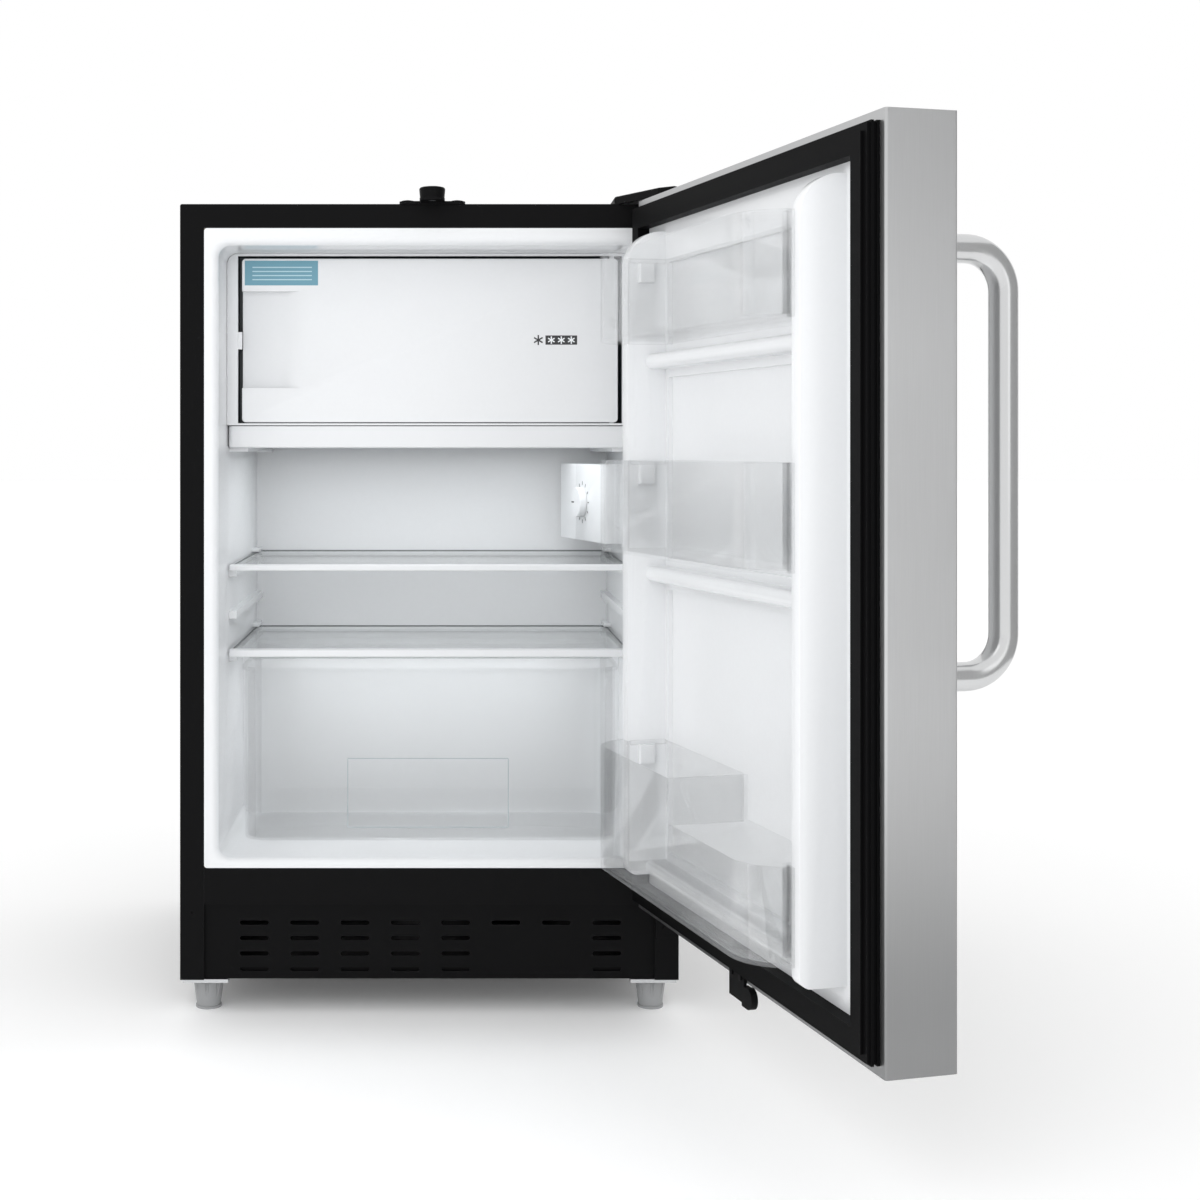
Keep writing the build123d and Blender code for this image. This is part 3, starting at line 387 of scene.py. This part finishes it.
def make_finishes(s):
    GROUPS["grain"] = grain_group()
    GROUPS["edge"] = edge_group()
    GROUPS["row"] = row_group("Row of blocks")
    GROUPS["heads"] = row_group("Row of heads", disc=True)
    GROUPS["ring"] = ring_group()
    paint = 1.0 / s.paint_grain
    brush = 1.0 / s.brush_pitch
    black = tuple(s.cabinet_black)
    white = tuple(s.liner_white)
    steel = tuple(s.steel_tint)
    F = FINISH
    # The freezer surround is painted dark just behind its stop, as shade in the deep groove behind the
    # freezer door.
    stop_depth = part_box("freezer_frame")[0].y + 0.0035
    F["freezer_surround"] = surface(
        "Freezer surround", shade(white, 0.99), 0.36, 1500, lift=0.015, broad=0.02, painted_shade_depth=stop_depth,
    )
    F["black_steel"] = surface(
        "Satin black paint", black, 0.4, paint, edge=((0.02, 0.02, 0.021), 1.2), bump_height=0.00003,
        spec=0.06,
    )
    F["black_plastic"] = surface(
        "Moulded black plastic", black, 0.5, 2200, edge=((0.02, 0.02, 0.021), 1.0), bump_height=0.00005,
        spec=0.06,
    )
    F["white_liner"] = surface(
        "Glossy white liner", white, 0.24, 260, lift=0.012, broad=0.02, bump_height=0.00003, coat=0.25,
    )
    F["white_plastic"] = surface(
        "Satin white plastic", shade(white, 0.99), 0.36, 1500, lift=0.015, broad=0.02,
    )
    F["stainless_skin"] = surface(
        "Brushed stainless wrap", steel, 0.36, brush, stretch=(1, 1, 0.012), lift=0.05, metallic=1.0,
        anisotropy=0.5, bump_height=0.00002,
        # Painted reflection and shade: darker towards the bottom and a little darker at the top of the wrap,
        # standing in for the floor and room seen in the steel
        painted_reflection_tones=((0.0, 0.36), (0.18, 0.43), (0.5, 0.98), (0.76, 0.98), (1.0, 0.80)),
    )
    F["stainless_handle"] = surface(
        "Brushed stainless tube", shade(steel, 1.0), 0.2, brush, stretch=(0.4, 0.4, 0.02), lift=0.015,
        metallic=1.0, anisotropy=0.2, bump_height=0.0,
    )
    F["bright_steel"] = surface("Zinc plated steel", (0.62, 0.63, 0.64), 0.3, 500, lift=0.08, metallic=1.0)
    F["galvanised"] = surface(
        "Galvanised sheet", (0.42, 0.43, 0.44), 0.42, 60, lift=0.18, metallic=1.0, broad=0.2,
    )
    F["aluminium_plate"] = surface(
        "Aluminium plate", (0.72, 0.74, 0.76), 0.38, 300, lift=0.06, metallic=1.0,
    )
    F["compressor_black"] = surface("Black enamel", (0.012, 0.012, 0.012), 0.3, 500, bump_height=0.00006)
    F["copper"] = surface("Copper tube", (0.75, 0.36, 0.2), 0.3, 400, lift=0.12, metallic=1.0)
    F["grommet_rubber"] = surface("Grommet rubber", (0.014, 0.014, 0.014), 0.7, 1400)
    F["seal_black"] = surface(
        "Black seal rubber", (0.0028, 0.0028, 0.0031), 0.55, 1200, edge=((0.010, 0.010, 0.010), 0.8),
        spec=0.05,
    )
    F["seal_grey"] = surface("Grey soft seal", (0.45, 0.46, 0.47), 0.6, 1200)
    F["magnet"] = surface("Magnetic strip", (0.03, 0.027, 0.025), 0.7, 900)
    F["foam"] = surface("Rigid foam", (0.62, 0.53, 0.3), 0.9, 700, lift=0.2, bump_height=0.0004)
    F["foot_grey"] = surface(
        "Grey nylon foot", (0.31, 0.315, 0.32), 0.4, 1200, edge=((0.42, 0.42, 0.43), 1.0),
    )
    F["label_blue"] = surface("Label print", tuple(s.label_blue), 0.35, 900, lift=0.05)
    F["lamp_white"] = surface("Lamp glass", (0.9, 0.9, 0.86), 0.25, 500, lift=0.02)
    F["shelf_glass"] = clear("Shelf glass", (0.95, 0.99, 0.975), 0.02, 1.5, wave=0.00005, body=0.42)
    F["clear_plastic"] = clear(
        "Clear moulded plastic", tuple(s.clear_tint), 0.04, 1.42, wave=0.00006, body=0.16,
    )
    F["lens"] = surface("Frosted lens", shade(white, 1.02), 0.45, 700, lift=0.02, broad=0.02)
    F["glass_edge"] = surface("Ground glass edge", (0.018, 0.026, 0.025), 0.3, 900, lift=0.2, spec=0.2)
    F["moulded_line"] = surface("Moulded outline", (0.42, 0.47, 0.49), 0.3, 900, lift=0.1)
    F["print_dark"] = surface("Dark print", (0.035, 0.036, 0.038), 0.45, 900)
    F["print_pale"] = surface("Pale print", (0.48, 0.66, 0.72), 0.4, 900, lift=0.04)
    F["card_grey"] = surface("Studio card", (0.46, 0.46, 0.46), 0.9, 20)
    F["print_white"] = surface("White print", (0.86, 0.88, 0.9), 0.4, 900, lift=0.02)
    F["floor"] = surface(
        "Pale floor", (0.975, 0.975, 0.975), 0.7, 40, lift=0.004, broad=0.004, bump_height=0.0,
    )


def dress(obj, mat):
    obj.data.materials.clear()
    obj.data.materials.append(mat)


class FRIDGE_OT_finishes(bpy.types.Operator):
    """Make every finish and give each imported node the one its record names"""

    bl_idname = "fridge.finishes"
    bl_label = "Finishes"

    def execute(self, context):
        make_finishes(context.scene.fridge_finish)
        for entry in frame["record"]["subparts"]:
            node = NODES[entry["node"]]
            dress(node, FINISH[entry["material_slot"]])
            node.data.shade_smooth()
            node.data.set_sharp_from_angle(angle=math.radians(32))
        return {"FINISHED"}


# ------------------------------------------------------------------ mesh helpers
def body_of_node(node):
    return NODES[node]["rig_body"]


def slot_of_node(node):
    for entry in frame["record"]["subparts"]:
        if entry["node"] == node:
            return entry["material_slot"]
    raise RuntimeError("no slot for " + node)


def link_mesh(name, bm, mat, body):
    mesh = bpy.data.meshes.new(name)
    bm.to_mesh(mesh)
    bm.free()
    obj = bpy.data.objects.new(name, mesh)
    bpy.context.scene.collection.objects.link(obj)
    dress(obj, mat)
    obj.data.shade_smooth()
    obj.data.set_sharp_from_angle(angle=math.radians(32))
    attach(obj, body)
    return obj


def bake(obj):
    """Turn an object with live modifiers into a plain mesh in place."""
    deps = bpy.context.evaluated_depsgraph_get()
    mesh = bpy.data.meshes.new_from_object(obj.evaluated_get(deps))
    obj.modifiers.clear()
    obj.data = mesh
    return obj


def row_group(name, disc=False):
    """Row of blocks or of round heads, each turned the same way."""
    tree = bpy.data.node_groups.new(name, "GeometryNodeTree")
    new = tree.nodes.new
    for label, kind in (
        ("Count", "NodeSocketInt"), ("Start", "NodeSocketVector"), ("Step", "NodeSocketVector"),
        ("Size", "NodeSocketVector"), ("Turn", "NodeSocketVector"), ("Finish", "NodeSocketMaterial"),
    ):
        tree.interface.new_socket(label, in_out="INPUT", socket_type=kind)
    tree.interface.new_socket("Geometry", in_out="OUTPUT", socket_type="NodeSocketGeometry")
    gin, gout = new("NodeGroupInput"), new("NodeGroupOutput")
    line, put = new("GeometryNodeMeshLine"), new("GeometryNodeInstanceOnPoints")
    real, coat = new("GeometryNodeRealizeInstances"), new("GeometryNodeSetMaterial")
    link = tree.links.new
    if disc:
        unit = new("GeometryNodeMeshUVSphere")
        unit.inputs["Segments"].default_value = 24
        unit.inputs["Rings"].default_value = 12
        unit.inputs["Radius"].default_value = 0.5
        link(gin.outputs["Size"], put.inputs["Scale"])
    else:
        unit = new("GeometryNodeMeshCube")
        link(gin.outputs["Size"], unit.inputs["Size"])
    link(gin.outputs["Count"], line.inputs["Count"])
    link(gin.outputs["Start"], line.inputs["Start Location"])
    link(gin.outputs["Step"], line.inputs["Offset"])
    link(line.outputs[0], put.inputs["Points"])
    link(unit.outputs[0], put.inputs["Instance"])
    link(gin.outputs["Turn"], put.inputs["Rotation"])
    link(put.outputs[0], real.inputs[0])
    link(real.outputs[0], coat.inputs["Geometry"])
    link(gin.outputs["Finish"], coat.inputs["Material"])
    link(coat.outputs[0], gout.inputs[0])
    return tree


def ring_group():
    """Blocks set round a circle, each pointing outwards."""
    tree = bpy.data.node_groups.new("Ring of marks", "GeometryNodeTree")
    new = tree.nodes.new
    for label, kind in (
        ("Count", "NodeSocketInt"), ("Radius", "NodeSocketFloat"), ("Size", "NodeSocketVector"),
        ("Finish", "NodeSocketMaterial"),
    ):
        tree.interface.new_socket(label, in_out="INPUT", socket_type=kind)
    tree.interface.new_socket("Geometry", in_out="OUTPUT", socket_type="NodeSocketGeometry")
    gin, gout = new("NodeGroupInput"), new("NodeGroupOutput")
    circle, cube, put = new("GeometryNodeMeshCircle"), new("GeometryNodeMeshCube"), new(
        "GeometryNodeInstanceOnPoints"
    )
    real, coat, index = new("GeometryNodeRealizeInstances"), new("GeometryNodeSetMaterial"), new(
        "GeometryNodeInputIndex"
    )
    part = add(tree, "ShaderNodeMath", operation="DIVIDE")
    part.inputs[0].default_value = math.tau
    times = add(tree, "ShaderNodeMath", operation="MULTIPLY")
    turn = new("ShaderNodeCombineXYZ")
    link = tree.links.new
    link(gin.outputs["Count"], circle.inputs["Vertices"])
    link(gin.outputs["Radius"], circle.inputs["Radius"])
    link(gin.outputs["Size"], cube.inputs["Size"])
    link(gin.outputs["Count"], part.inputs[1])
    link(part.outputs[0], times.inputs[0])
    link(index.outputs[0], times.inputs[1])
    link(times.outputs[0], turn.inputs["Z"])
    link(circle.outputs[0], put.inputs["Points"])
    link(cube.outputs[0], put.inputs["Instance"])
    link(turn.outputs[0], put.inputs["Rotation"])
    link(put.outputs[0], real.inputs[0])
    link(real.outputs[0], coat.inputs["Geometry"])
    link(gin.outputs["Finish"], coat.inputs["Material"])
    link(coat.outputs[0], gout.inputs[0])
    return tree


def repeated(name, tree, body, slot, place=None, smooth=False, **values):
    """Piece made by a repeating group; its inputs are set before it is first worked out."""
    mesh = bpy.data.meshes.new(name)
    obj = bpy.data.objects.new(name, mesh)
    bpy.context.scene.collection.objects.link(obj)
    mod = obj.modifiers.new("Repeat", "NODES")
    mod.node_group = tree
    for item in tree.interface.items_tree:
        if item.in_out == "INPUT" and item.name in values:
            mod[item.identifier] = values[item.name]
    bake(obj)
    if place is not None:
        obj.data.transform(place)
    if smooth:
        obj.data.shade_smooth()
    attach(obj, body)
    return obj


def add_block(bm, lo, hi, turn=None):
    """Block between two corners in millimetres, turned if asked."""
    size = [(b - a) * MM for a, b in zip(lo, hi)]
    mid = Vector([(a + b) * MM / 2 for a, b in zip(lo, hi)])
    place = Matrix.Translation(mid) @ (turn or Matrix.Identity(4)) @ Matrix.Diagonal((*size, 1.0))
    bmesh.ops.create_cube(bm, size=1.0, matrix=place)


def softened(node, radius, segments=3, angle=40.0):
    """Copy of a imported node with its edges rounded, standing for that node."""
    bm = bmesh.new()
    bm.from_mesh(NODES[node].data)
    bmesh.ops.remove_doubles(bm, verts=bm.verts, dist=0.00001)
    bmesh.ops.dissolve_limit(
        bm, angle_limit=math.radians(0.6), verts=bm.verts, edges=bm.edges, delimit={"NORMAL"},
    )
    mesh = bpy.data.meshes.new(node + "_soft")
    bm.to_mesh(mesh)
    bm.free()
    obj = bpy.data.objects.new(node + "_soft", mesh)
    bpy.context.scene.collection.objects.link(obj)
    bevel = obj.modifiers.new("Rounding", "BEVEL")
    bevel.width = radius
    bevel.segments = segments
    bevel.limit_method = "ANGLE"
    bevel.angle_limit = math.radians(angle)
    bevel.use_clamp_overlap = True
    bevel.harden_normals = False
    bake(obj)
    obj.data.shade_smooth()
    obj.data.set_sharp_from_angle(angle=math.radians(40))
    dress(obj, FINISH[slot_of_node(node)])
    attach(obj, body_of_node(node))
    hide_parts(node)
    return obj


# ------------------------------------------------------------------ pieces
def box_mm(node):
    """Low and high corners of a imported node, in millimetres."""
    low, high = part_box(node)
    return [v / MM for v in low], [v / MM for v in high]


class FRIDGE_OT_liners(bpy.types.Operator):
    """Round the moulded edges of the cabinet liner and the door liner"""

    bl_idname = "fridge.liners"
    bl_label = "Liners"

    def execute(self, context):
        r = context.scene.fridge_shape.liner_round
        softened("door_liner", r)
        softened("inner_liner", r * 0.6)
        return {"FINISHED"}


class FRIDGE_OT_freezer(bpy.types.Operator):
    """Freezer surround, door, label print, star mark and drip tray"""

    bl_idname = "fridge.freezer"
    bl_label = "Freezer"

    def execute(self, context):
        s = context.scene.fridge_shape
        softened("freezer_door_panel", s.edge_round * 1.2, segments=3)
        surround = softened("freezer_frame", s.edge_round * 1.2)
        dress(surround, FINISH["freezer_surround"])
        softened("drip_tray", s.edge_round * 2.0)
        low, high = box_mm("freezer_label")
        top = high[2] - 7.0
        pitch = (high[2] - low[2] - 13.0) / max(1, s.label_lines - 1)
        repeated(
            "label_lines", GROUPS["row"], "freezer_door", "white_plastic",
            Count=s.label_lines, Start=(
                (low[0] + 39.0) * MM, (low[1] - 0.05) * MM, top * MM,
            ), Step=(0, 0, -pitch * MM),
            Size=(0.062, 0.0002, 0.0011), Turn=(0, 0, 0), Finish=FINISH["print_pale"],
        )
        bm = bmesh.new()
        y = low[1]
        mid = 681.0
        add_block(bm, (120.5, y - 0.1, mid - 4.8), (153.5, y + 0.1, mid + 4.8))
        self.star(bm, 113.0, y, mid, 5.2, 1.5)
        link_mesh("star_plate", bm, FINISH["print_dark"], "freezer_door")
        bm = bmesh.new()
        for x in (126.6, 137.0, 147.4):
            self.star(bm, x, y - 0.12, mid, 3.9, 1.25)
        link_mesh("star_print", bm, FINISH["print_white"], "freezer_door")
        return {"FINISHED"}

    def star(self, bm, x, y, z, reach, width):
        for k in range(3):
            turn = Matrix.Rotation(math.radians(60 * k + 30), 4, "Y")
            add_block(
                bm, (x - reach, y - 0.1 - 0.01 * k, z - width / 2), (x + reach, y + 0.1, z + width / 2),
                turn,
            )


class FRIDGE_OT_shelves(bpy.types.Operator):
    """Dark ground edges round the shelf glass"""

    bl_idname = "fridge.shelves"
    bl_label = "Shelves"

    def execute(self, context):
        for which in ("upper", "lower"):
            low, high = box_mm(which + "_shelf_glass")
            z = high[2]
            y0 = low[1] + 9.6
            bm = bmesh.new()
            for x in (low[0], high[0] - 1.4):
                add_block(bm, (x, y0, z - 1.3), (x + 1.4, high[1], z + 0.2))
            add_block(bm, (low[0] + 1.4, high[1] - 1.6, z - 1.6), (high[0] - 1.4, high[1], z + 0.2))
            link_mesh(which + "_glass_edge", bm, FINISH["glass_edge"], which + "_shelf")
            NODES[which + "_shelf_glass"].visible_shadow = False
        return {"FINISHED"}


class FRIDGE_OT_clear_ware(bpy.types.Operator):
    """Round the edges of the clear bins and the drawer"""

    bl_idname = "fridge.clear_ware"
    bl_label = "Bins and drawer"

    def execute(self, context):
        r = context.scene.fridge_shape.bin_round
        for node in ("top_bin", "middle_bin", "bottom_bin", "crisper_drawer"):
            piece = softened(node, r, segments=2)
            piece.visible_shadow = False
        low, high = box_mm("crisper_drawer")
        wide = (high[0] - low[0]) / 400.0
        x0, x1, y = -86.0 * wide, 82.0 * wide, low[1] - 0.05
        z0, z1 = low[2] + 14.0, low[2] + 86.0
        bm = bmesh.new()
        for z in (z0, z1):
            add_block(bm, (x0, y - 0.1, z - 0.5), (x1, y + 0.1, z + 0.5))
        for x in (x0, x1):
            add_block(bm, (x - 0.5, y - 0.1, z0 + 0.5), (x + 0.5, y + 0.1, z1 - 0.5))
        link_mesh("pull_outline", bm, FINISH["moulded_line"], "crisper")
        return {"FINISHED"}


class FRIDGE_OT_controls(bpy.types.Operator):
    """Marks round the thermostat dial and its pointer"""

    bl_idname = "fridge.controls"
    bl_label = "Thermostat marks"

    def execute(self, context):
        s = context.scene.fridge_shape
        joint = next(j for j in frame["record"]["behaviour"]["joints"] if j["name"] == "thermostat_turn")
        centre, axis = Vector(joint["pos_m"]), Vector(joint["axis"]).normalized()
        side = axis.cross(Vector((0, 0, 1))).normalized()
        up = side.cross(axis)
        place = Matrix((side, up, axis)).transposed().to_4x4()
        place.translation = centre + axis * 0.00008
        repeated(
            "dial_marks", GROUPS["ring"], "cabinet", "black_plastic", place=place,
            Count=s.dial_marks, Radius=0.0218, Size=(0.0042, 0.0013, 0.0002), Finish=FINISH["print_dark"],
        )
        softened("thermostat_housing", s.edge_round * 2.0)
        bm = bmesh.new()
        bmesh.ops.create_cube(
            bm, size=1.0,
            matrix=place @ Matrix.Translation((0.010, 0, 0.0084)) @ Matrix.Diagonal(
                (0.009, 0.0016, 0.0003, 1)
            ),
        )
        link_mesh("dial_pointer", bm, FINISH["print_dark"], "dial")
        return {"FINISHED"}


class FRIDGE_OT_fasteners(bpy.types.Operator):
    """Domed heads on the lock plate, screws on the rear cover and a plain plate on the back panel"""

    bl_idname = "fridge.fasteners"
    bl_label = "Fasteners"

    def execute(self, context):
        s = context.scene.fridge_shape
        low, high = box_mm("lock_plate")
        x0, x1 = (low[0] + high[0]) / 2 - 25.0, (low[0] + high[0]) / 2 + 25.0
        top = high[2]
        repeated(
            "lock_screw_domes", GROUPS["heads"], "cabinet", "black_steel", smooth=True,
            Count=2, Start=(x0 * MM, 0.014, (top + 2.0) * MM), Step=((x1 - x0) * MM, 0, 0),
            Size=(0.0104, 0.0104, 0.0024), Turn=(0, 0, 0), Finish=FINISH["black_steel"],
        )
        low, high = box_mm("rear_cover")
        y = high[1]
        n = s.cover_screws
        step = (high[0] - low[0] - 30.0) / (n - 1)
        for label, z in (("low", low[2] + 7.0), ("high", high[2] - 7.0)):
            repeated(
                "cover_screws_" + label, GROUPS["heads"], "cabinet", "bright_steel", smooth=True,
                Count=n, Start=((low[0] + 15.0) * MM, y * MM, z * MM), Step=(step * MM, 0, 0),
                Size=(0.008, 0.0034, 0.008), Turn=(0, 0, 0), Finish=FINISH["bright_steel"],
            )
        bm = bmesh.new()
        low, high = box_mm("back_panel")
        y = high[1]
        add_block(bm, (60, y - 0.02, 560), (170, y + 0.25, 640))
        link_mesh("plain_plate", bm, FINISH["print_white"], "cabinet")
        repeated(
            "plate_lines", GROUPS["row"], "cabinet", "black_plastic",
            Count=6, Start=(0.115, (y + 0.28) * MM, 0.628), Step=(0, 0, -0.0105),
            Size=(0.09, 0.0002, 0.0018), Turn=(0, 0, 0), Finish=FINISH["print_dark"],
        )
        return {"FINISHED"}


FLOOR_HALF = 30.0  # metres from the middle of the floor to its edge
FLOOR_GLOW = 0.07  # lifts the pale floor towards white
BESIDE_PART = 0.006  # gap between a light in the cavity and the part next to it, metres
COOL_WHITE = (0.96, 0.985, 1.0)
CARD = ((1500, -1900, 0), (1520, 300, 1700))  # corners in millimetres; only reflections show it
LENS = 52.62
SENSOR = 36.0
FRAME_SHIFT = (0.1308, -0.125)
CAMERA_AT = (0.0137, -1.7586, 0.5664)


class FRIDGE_OT_stage(bpy.types.Operator):
    """Floor, soft lights, reflection card and the camera"""

    bl_idname = "fridge.stage"
    bl_label = "Stage"

    def execute(self, context):
        bm = bmesh.new()
        bmesh.ops.create_grid(bm, x_segments=2, y_segments=2, size=FLOOR_HALF)
        mesh = bpy.data.meshes.new("floor")
        bm.to_mesh(mesh)
        bm.free()
        floor = bpy.data.objects.new("floor", mesh)
        context.scene.collection.objects.link(floor)
        glow = FINISH["floor"].node_tree.nodes["Principled BSDF"]
        glow.inputs["Emission Color"].default_value = (1, 1, 1, 1)
        glow.inputs["Emission Strength"].default_value = FLOOR_GLOW
        dress(floor, FINISH["floor"])

        world = bpy.data.worlds.new("Studio")
        context.scene.world = world
        world.use_nodes = True
        back = world.node_tree.nodes["Background"]
        back.inputs["Color"].default_value = (1.0, 1.0, 1.0, 1)
        back.inputs["Strength"].default_value = 1.0

        def softbox(name, at, aim, size, power, colour=(1, 1, 1)):
            light = bpy.data.lights.new(name, "AREA")
            light.shape = "RECTANGLE"
            light.size, light.size_y = size
            light.energy = power
            light.color = colour
            obj = bpy.data.objects.new(name, light)
            obj.location = at
            obj.rotation_euler = (Vector(aim) - Vector(at)).to_track_quat("-Z", "Y").to_euler()
            context.scene.collection.objects.link(obj)
            return obj

        softbox("key", (-1.6, -2.6, 2.3), (0.0, 0.1, 0.45), (1.8, 1.8), 4)
        softbox("fill", (1.9, -2.4, 1.2), (0.1, 0.0, 0.45), (1.6, 1.6), 2.4)
        inside = softbox("inside", (-0.1, -1.0, 0.7), (0.0, 0.3, 0.42), (0.7, 0.7), 2.6, (0.97, 0.985, 1.0))

        under_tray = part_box("drip_tray")[0].z - BESIDE_PART
        over_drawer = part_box("crisper_drawer")[1].z + BESIDE_PART
        for lamp in (
            inside,
            softbox("shelf light", (0.0, 0.19, under_tray), (0.0, 0.191, 0.2), (0.36, 0.2), 0.46, COOL_WHITE),
            softbox(
                "drawer light", (0.0, 0.15, over_drawer), (0.0, 0.151, 0.1), (0.34, 0.1), 0.22, COOL_WHITE
            ),
        ):
            lamp.visible_camera = False
            lamp.visible_glossy = False
            lamp.visible_transmission = False

        bm = bmesh.new()
        add_block(bm, *CARD)
        card = bpy.data.meshes.new("dark_card")
        bm.to_mesh(card)
        bm.free()
        flag = bpy.data.objects.new("dark_card", card)
        context.scene.collection.objects.link(flag)
        dress(flag, FINISH["card_grey"])
        flag.visible_camera = False
        flag.visible_diffuse = False
        flag.visible_shadow = False

        context.scene.view_settings.view_transform = "Standard"
        context.scene.view_settings.exposure = 0.0

        cam = bpy.data.cameras.new("camera")
        cam.lens = LENS
        cam.sensor_width = SENSOR
        cam.shift_x, cam.shift_y = FRAME_SHIFT
        cam.clip_end = 100
        obj = bpy.data.objects.new("camera", cam)
        obj.location = CAMERA_AT
        obj.rotation_euler = (math.radians(90), 0, 0)
        context.scene.collection.objects.link(obj)
        context.scene.camera = obj
        return {"FINISHED"}


class FRIDGE_PT_panel(bpy.types.Panel):
    bl_idname = "FRIDGE_PT_panel"
    bl_label = "Mini fridge"
    bl_space_type = "VIEW_3D"
    bl_region_type = "UI"
    bl_category = "Fridge"

    def draw(self, context):
        for group in (context.scene.fridge_finish, context.scene.fridge_shape):
            for key in group.__annotations__:
                self.layout.prop(group, key)
        for op in OPERATORS:
            self.layout.operator(op.bl_idname)


OPERATORS = (
    FRIDGE_OT_finishes, FRIDGE_OT_liners, FRIDGE_OT_freezer, FRIDGE_OT_shelves, FRIDGE_OT_clear_ware,
    FRIDGE_OT_controls, FRIDGE_OT_fasteners, FRIDGE_OT_stage,
)
CLASSES = (FridgeFinishSettings, FridgeShapeSettings, *OPERATORS, FRIDGE_PT_panel)


def register():
    for c in CLASSES:
        bpy.utils.register_class(c)
    bpy.types.Scene.fridge_finish = PointerProperty(type=FridgeFinishSettings)
    bpy.types.Scene.fridge_shape = PointerProperty(type=FridgeShapeSettings)


def unregister():
    del bpy.types.Scene.fridge_shape
    del bpy.types.Scene.fridge_finish
    for c in reversed(CLASSES):
        bpy.utils.unregister_class(c)


def main():
    register()
    bpy.ops.fridge.finishes()
    bpy.ops.fridge.liners()
    bpy.ops.fridge.freezer()
    bpy.ops.fridge.shelves()
    bpy.ops.fridge.clear_ware()
    bpy.ops.fridge.controls()
    bpy.ops.fridge.fasteners()
    bpy.ops.fridge.stage()


if __name__ == "__main__":
    main()
